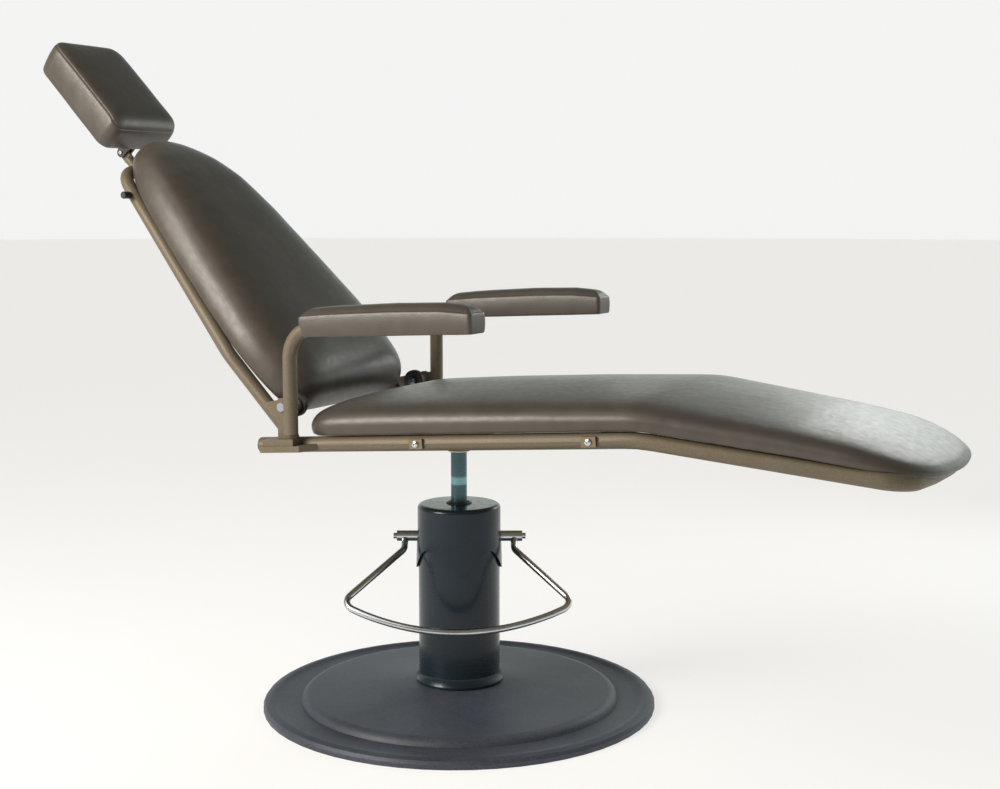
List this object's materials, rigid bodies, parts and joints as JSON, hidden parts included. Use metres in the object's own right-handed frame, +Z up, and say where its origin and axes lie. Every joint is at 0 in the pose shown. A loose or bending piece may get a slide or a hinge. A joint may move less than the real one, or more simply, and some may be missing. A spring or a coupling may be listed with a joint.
{
  "type": "dental chair",
  "caption": "Dental patient chair with a reclining back and headrest, raked seat with leg rest and arms, on a foot-pumped hydraulic column and round base.",
  "frame": {"origin": "centre of the pump foot underside on the floor, on the column axis", "axes": "+X towards the foot end of the seat, +Y towards the left-hand arm of someone sitting in it, +Z up along the column"},
  "size_m": [1.8116, 0.736, 1.244],
  "materials": {
    "base_slate": "fine-textured satin",
    "column_gloss": "gloss",
    "steel": "machined",
    "rod_steel": "ground",
    "chrome": "polished",
    "black_rubber": "matte",
    "black_plastic": "matte",
    "black_metal": "satin",
    "frame_paint": "satin hammertone",
    "plywood": "raw",
    "vinyl": "satin"
  },
  "bodies": {
    "base": {"base_casting": "base_slate", "pump_foot": "steel", "column_tube": "column_gloss", "column_bead": "column_gloss", "column_cap": "column_gloss", "rod_wiper": "black_rubber", "hydraulic_cylinder": "steel", "pump_barrel": "steel", "shaft_bush_right": "steel", "shaft_bush_left": "steel", "pedal_return_spring": "steel"},
    "pedal": {"pump_shaft": "chrome", "pedal_loop": "chrome", "pump_crank": "steel"},
    "plunger": {"pump_plunger": "steel"},
    "lift": {"piston_rod": "rod_steel", "cylinder_piston": "steel", "thrust_washer": "steel"},
    "seat": {"swivel_hub": "frame_paint", "seat_plate": "frame_paint", "seat_frame": "frame_paint", "cross_bar_rear": "frame_paint", "cross_bar_middle": "frame_paint", "cross_bar_front": "frame_paint", "frame_clip_middle_right": "steel", "frame_clip_middle_left": "steel", "frame_clip_front_right": "steel", "frame_clip_front_left": "steel", "rail_plug_right": "black_plastic", "rail_plug_left": "black_plastic", "seat_board": "plywood", "seat_pad": "vinyl", "arm_bracket_right": "frame_paint", "arm_bracket_left": "frame_paint", "arm_post_right": "frame_paint", "arm_post_left": "frame_paint", "arm_board_right": "plywood", "arm_board_left": "plywood", "arm_pad_right": "vinyl", "arm_pad_left": "vinyl", "pivot_bolt_right": "chrome", "pivot_bolt_left": "chrome", "pivot_nut_right": "chrome", "pivot_nut_left": "chrome"},
    "backrest": {"back_frame": "frame_paint", "back_ear_right": "frame_paint", "back_ear_left": "frame_paint", "recline_disc_right": "black_rubber", "recline_disc_left": "black_rubber", "back_board": "plywood", "back_pad": "vinyl", "headrest_socket": "frame_paint"},
    "headrest_lock": {"lock_rod": "steel", "lock_grip_right": "black_plastic", "lock_grip_left": "black_plastic"},
    "headrest_carrier": {"headrest_bar": "frame_paint", "headrest_pin": "steel"},
    "headrest": {"headrest_bracket": "black_metal", "headrest_board": "plywood", "headrest_pad": "vinyl"}
  },
  "joints": [
    {"name": "lift_slide", "type": "slide", "parent": "base", "child": "lift", "axis": [0, 0, 1], "range_m": [-0.09, 0.09]},
    {"name": "seat_swivel", "type": "hinge", "parent": "lift", "child": "seat", "pos_m": [0, 0, 0.5], "axis": [0, 0, 1], "continuous": true},
    {"name": "pedal_press", "type": "hinge", "parent": "base", "child": "pedal", "pos_m": [-0.01657, 0.03196, 0.31], "axis": [0.8878, 0.4602, 0], "range_deg": [0, 22], "stiffness_Nm_per_rad": 9, "springref_deg": -28.65},
    {"name": "plunger_stroke", "type": "slide", "parent": "base", "child": "plunger", "axis": [0, 0, 1], "range_m": [0, 0.0075]},
    {"name": "backrest_recline", "type": "hinge", "parent": "seat", "child": "backrest", "pos_m": [-0.218, 0, 0.577], "axis": [0, 1, 0], "range_deg": [-42, 34]},
    {"name": "headrest_lock_turn", "type": "hinge", "parent": "backrest", "child": "headrest_lock", "pos_m": [-0.64853, 0, 0.95085], "axis": [0, 1, 0], "range_deg": [0, 90]},
    {"name": "headrest_height", "type": "slide", "parent": "backrest", "child": "headrest_carrier", "axis": [-0.6947, 0, 0.7193], "range_m": [0, 0.09]},
    {"name": "headrest_tilt", "type": "hinge", "parent": "headrest_carrier", "child": "headrest", "pos_m": [-0.77997, 0, 1.03801], "axis": [0, 1, 0], "range_deg": [-35, 20]}
  ],
  "couplings": [
    {"joint": "plunger_stroke", "follows": "pedal_press", "m_per_rad": 0.0145}
  ]
}
